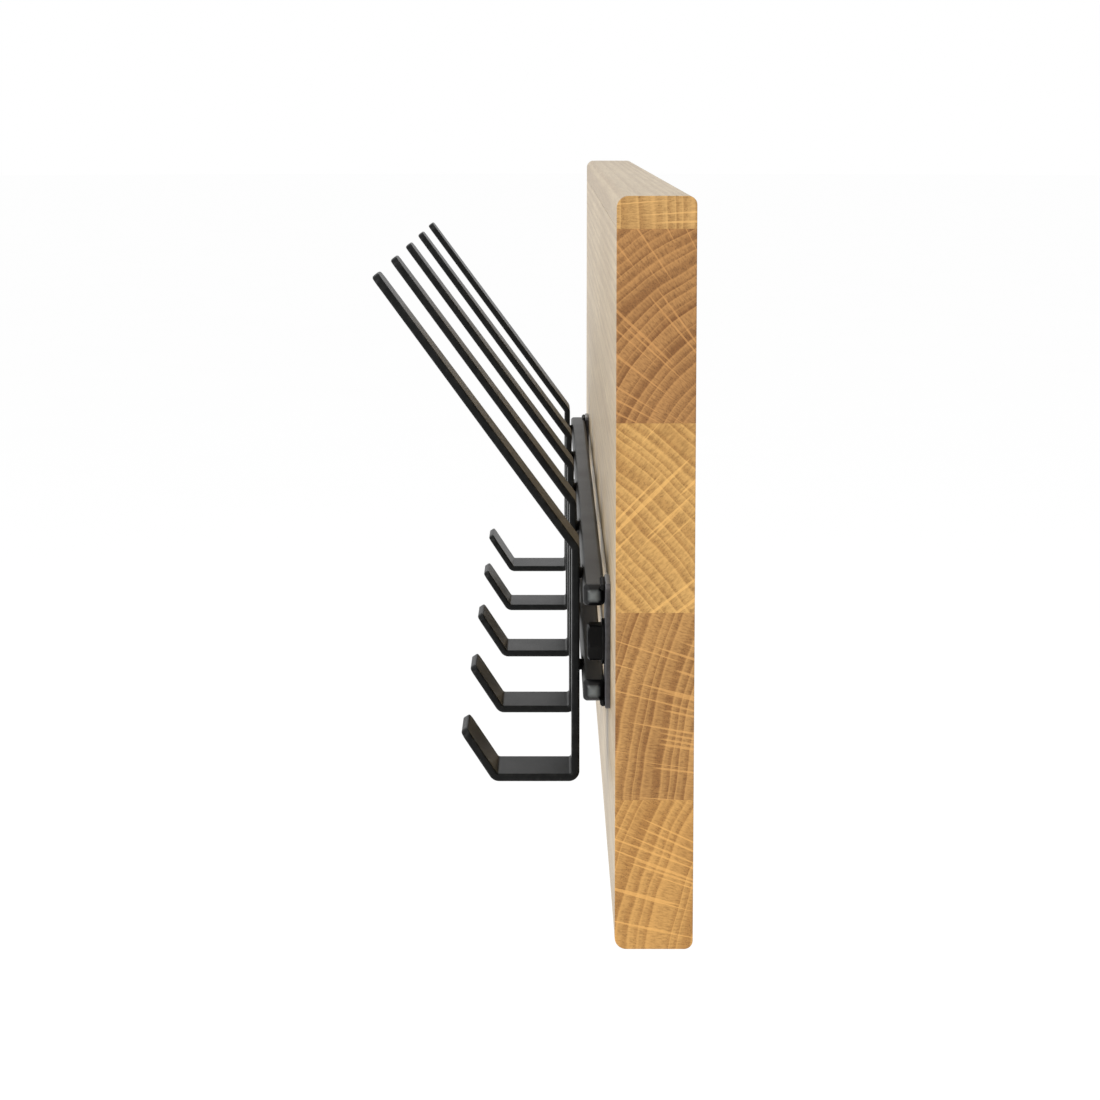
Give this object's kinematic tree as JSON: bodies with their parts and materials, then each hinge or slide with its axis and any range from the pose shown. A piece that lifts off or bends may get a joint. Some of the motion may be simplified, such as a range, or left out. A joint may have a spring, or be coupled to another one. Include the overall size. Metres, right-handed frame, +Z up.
{
  "type": "wall hook rack",
  "caption": "Wall-mounted coat rack: glued oak board with a welded black square-tube rail carrying flat-bar hooks, each with a long slanting upper arm and a short lower lip.",
  "frame": {"origin": "centre of the board's back face, which lies on the wall", "axes": "+X along the board's length, +Y into the wall, +Z up"},
  "size_m": [0.6, 0.1167, 0.26],
  "materials": {
    "oak": "oiled oak, satin",
    "black_coat": "fine matt powder coat",
    "cap_plastic": "satin moulded plastic",
    "black_bolt": "black oxide",
    "zinc_plate": "bright zinc"
  },
  "bodies": {
    "root": {"stave_top": "oak", "stave_upper": "oak", "stave_middle": "oak", "stave_lower": "oak", "stave_bottom": "oak", "rail_tube_upper": "black_coat", "rail_tube_lower": "black_coat", "end_cap_upper_left": "cap_plastic", "end_cap_upper_right": "cap_plastic", "end_cap_lower_left": "cap_plastic", "end_cap_lower_right": "cap_plastic", "bracket_plate_left": "black_coat", "bracket_plate_right": "black_coat", "bracket_welds_left": "black_coat", "bracket_welds_right": "black_coat", "lag_bolt_left": "black_bolt", "lag_bolt_right": "black_bolt", "washer_left": "black_bolt", "washer_right": "black_bolt", "hook_1": "black_coat", "hook_2": "black_coat", "hook_3": "black_coat", "hook_4": "black_coat", "hook_5": "black_coat", "weld_studs_upper": "black_coat", "weld_studs_lower": "black_coat", "hanger_plate_left": "zinc_plate", "hanger_plate_right": "zinc_plate", "hanger_screws": "zinc_plate"}
  },
  "joints": []
}
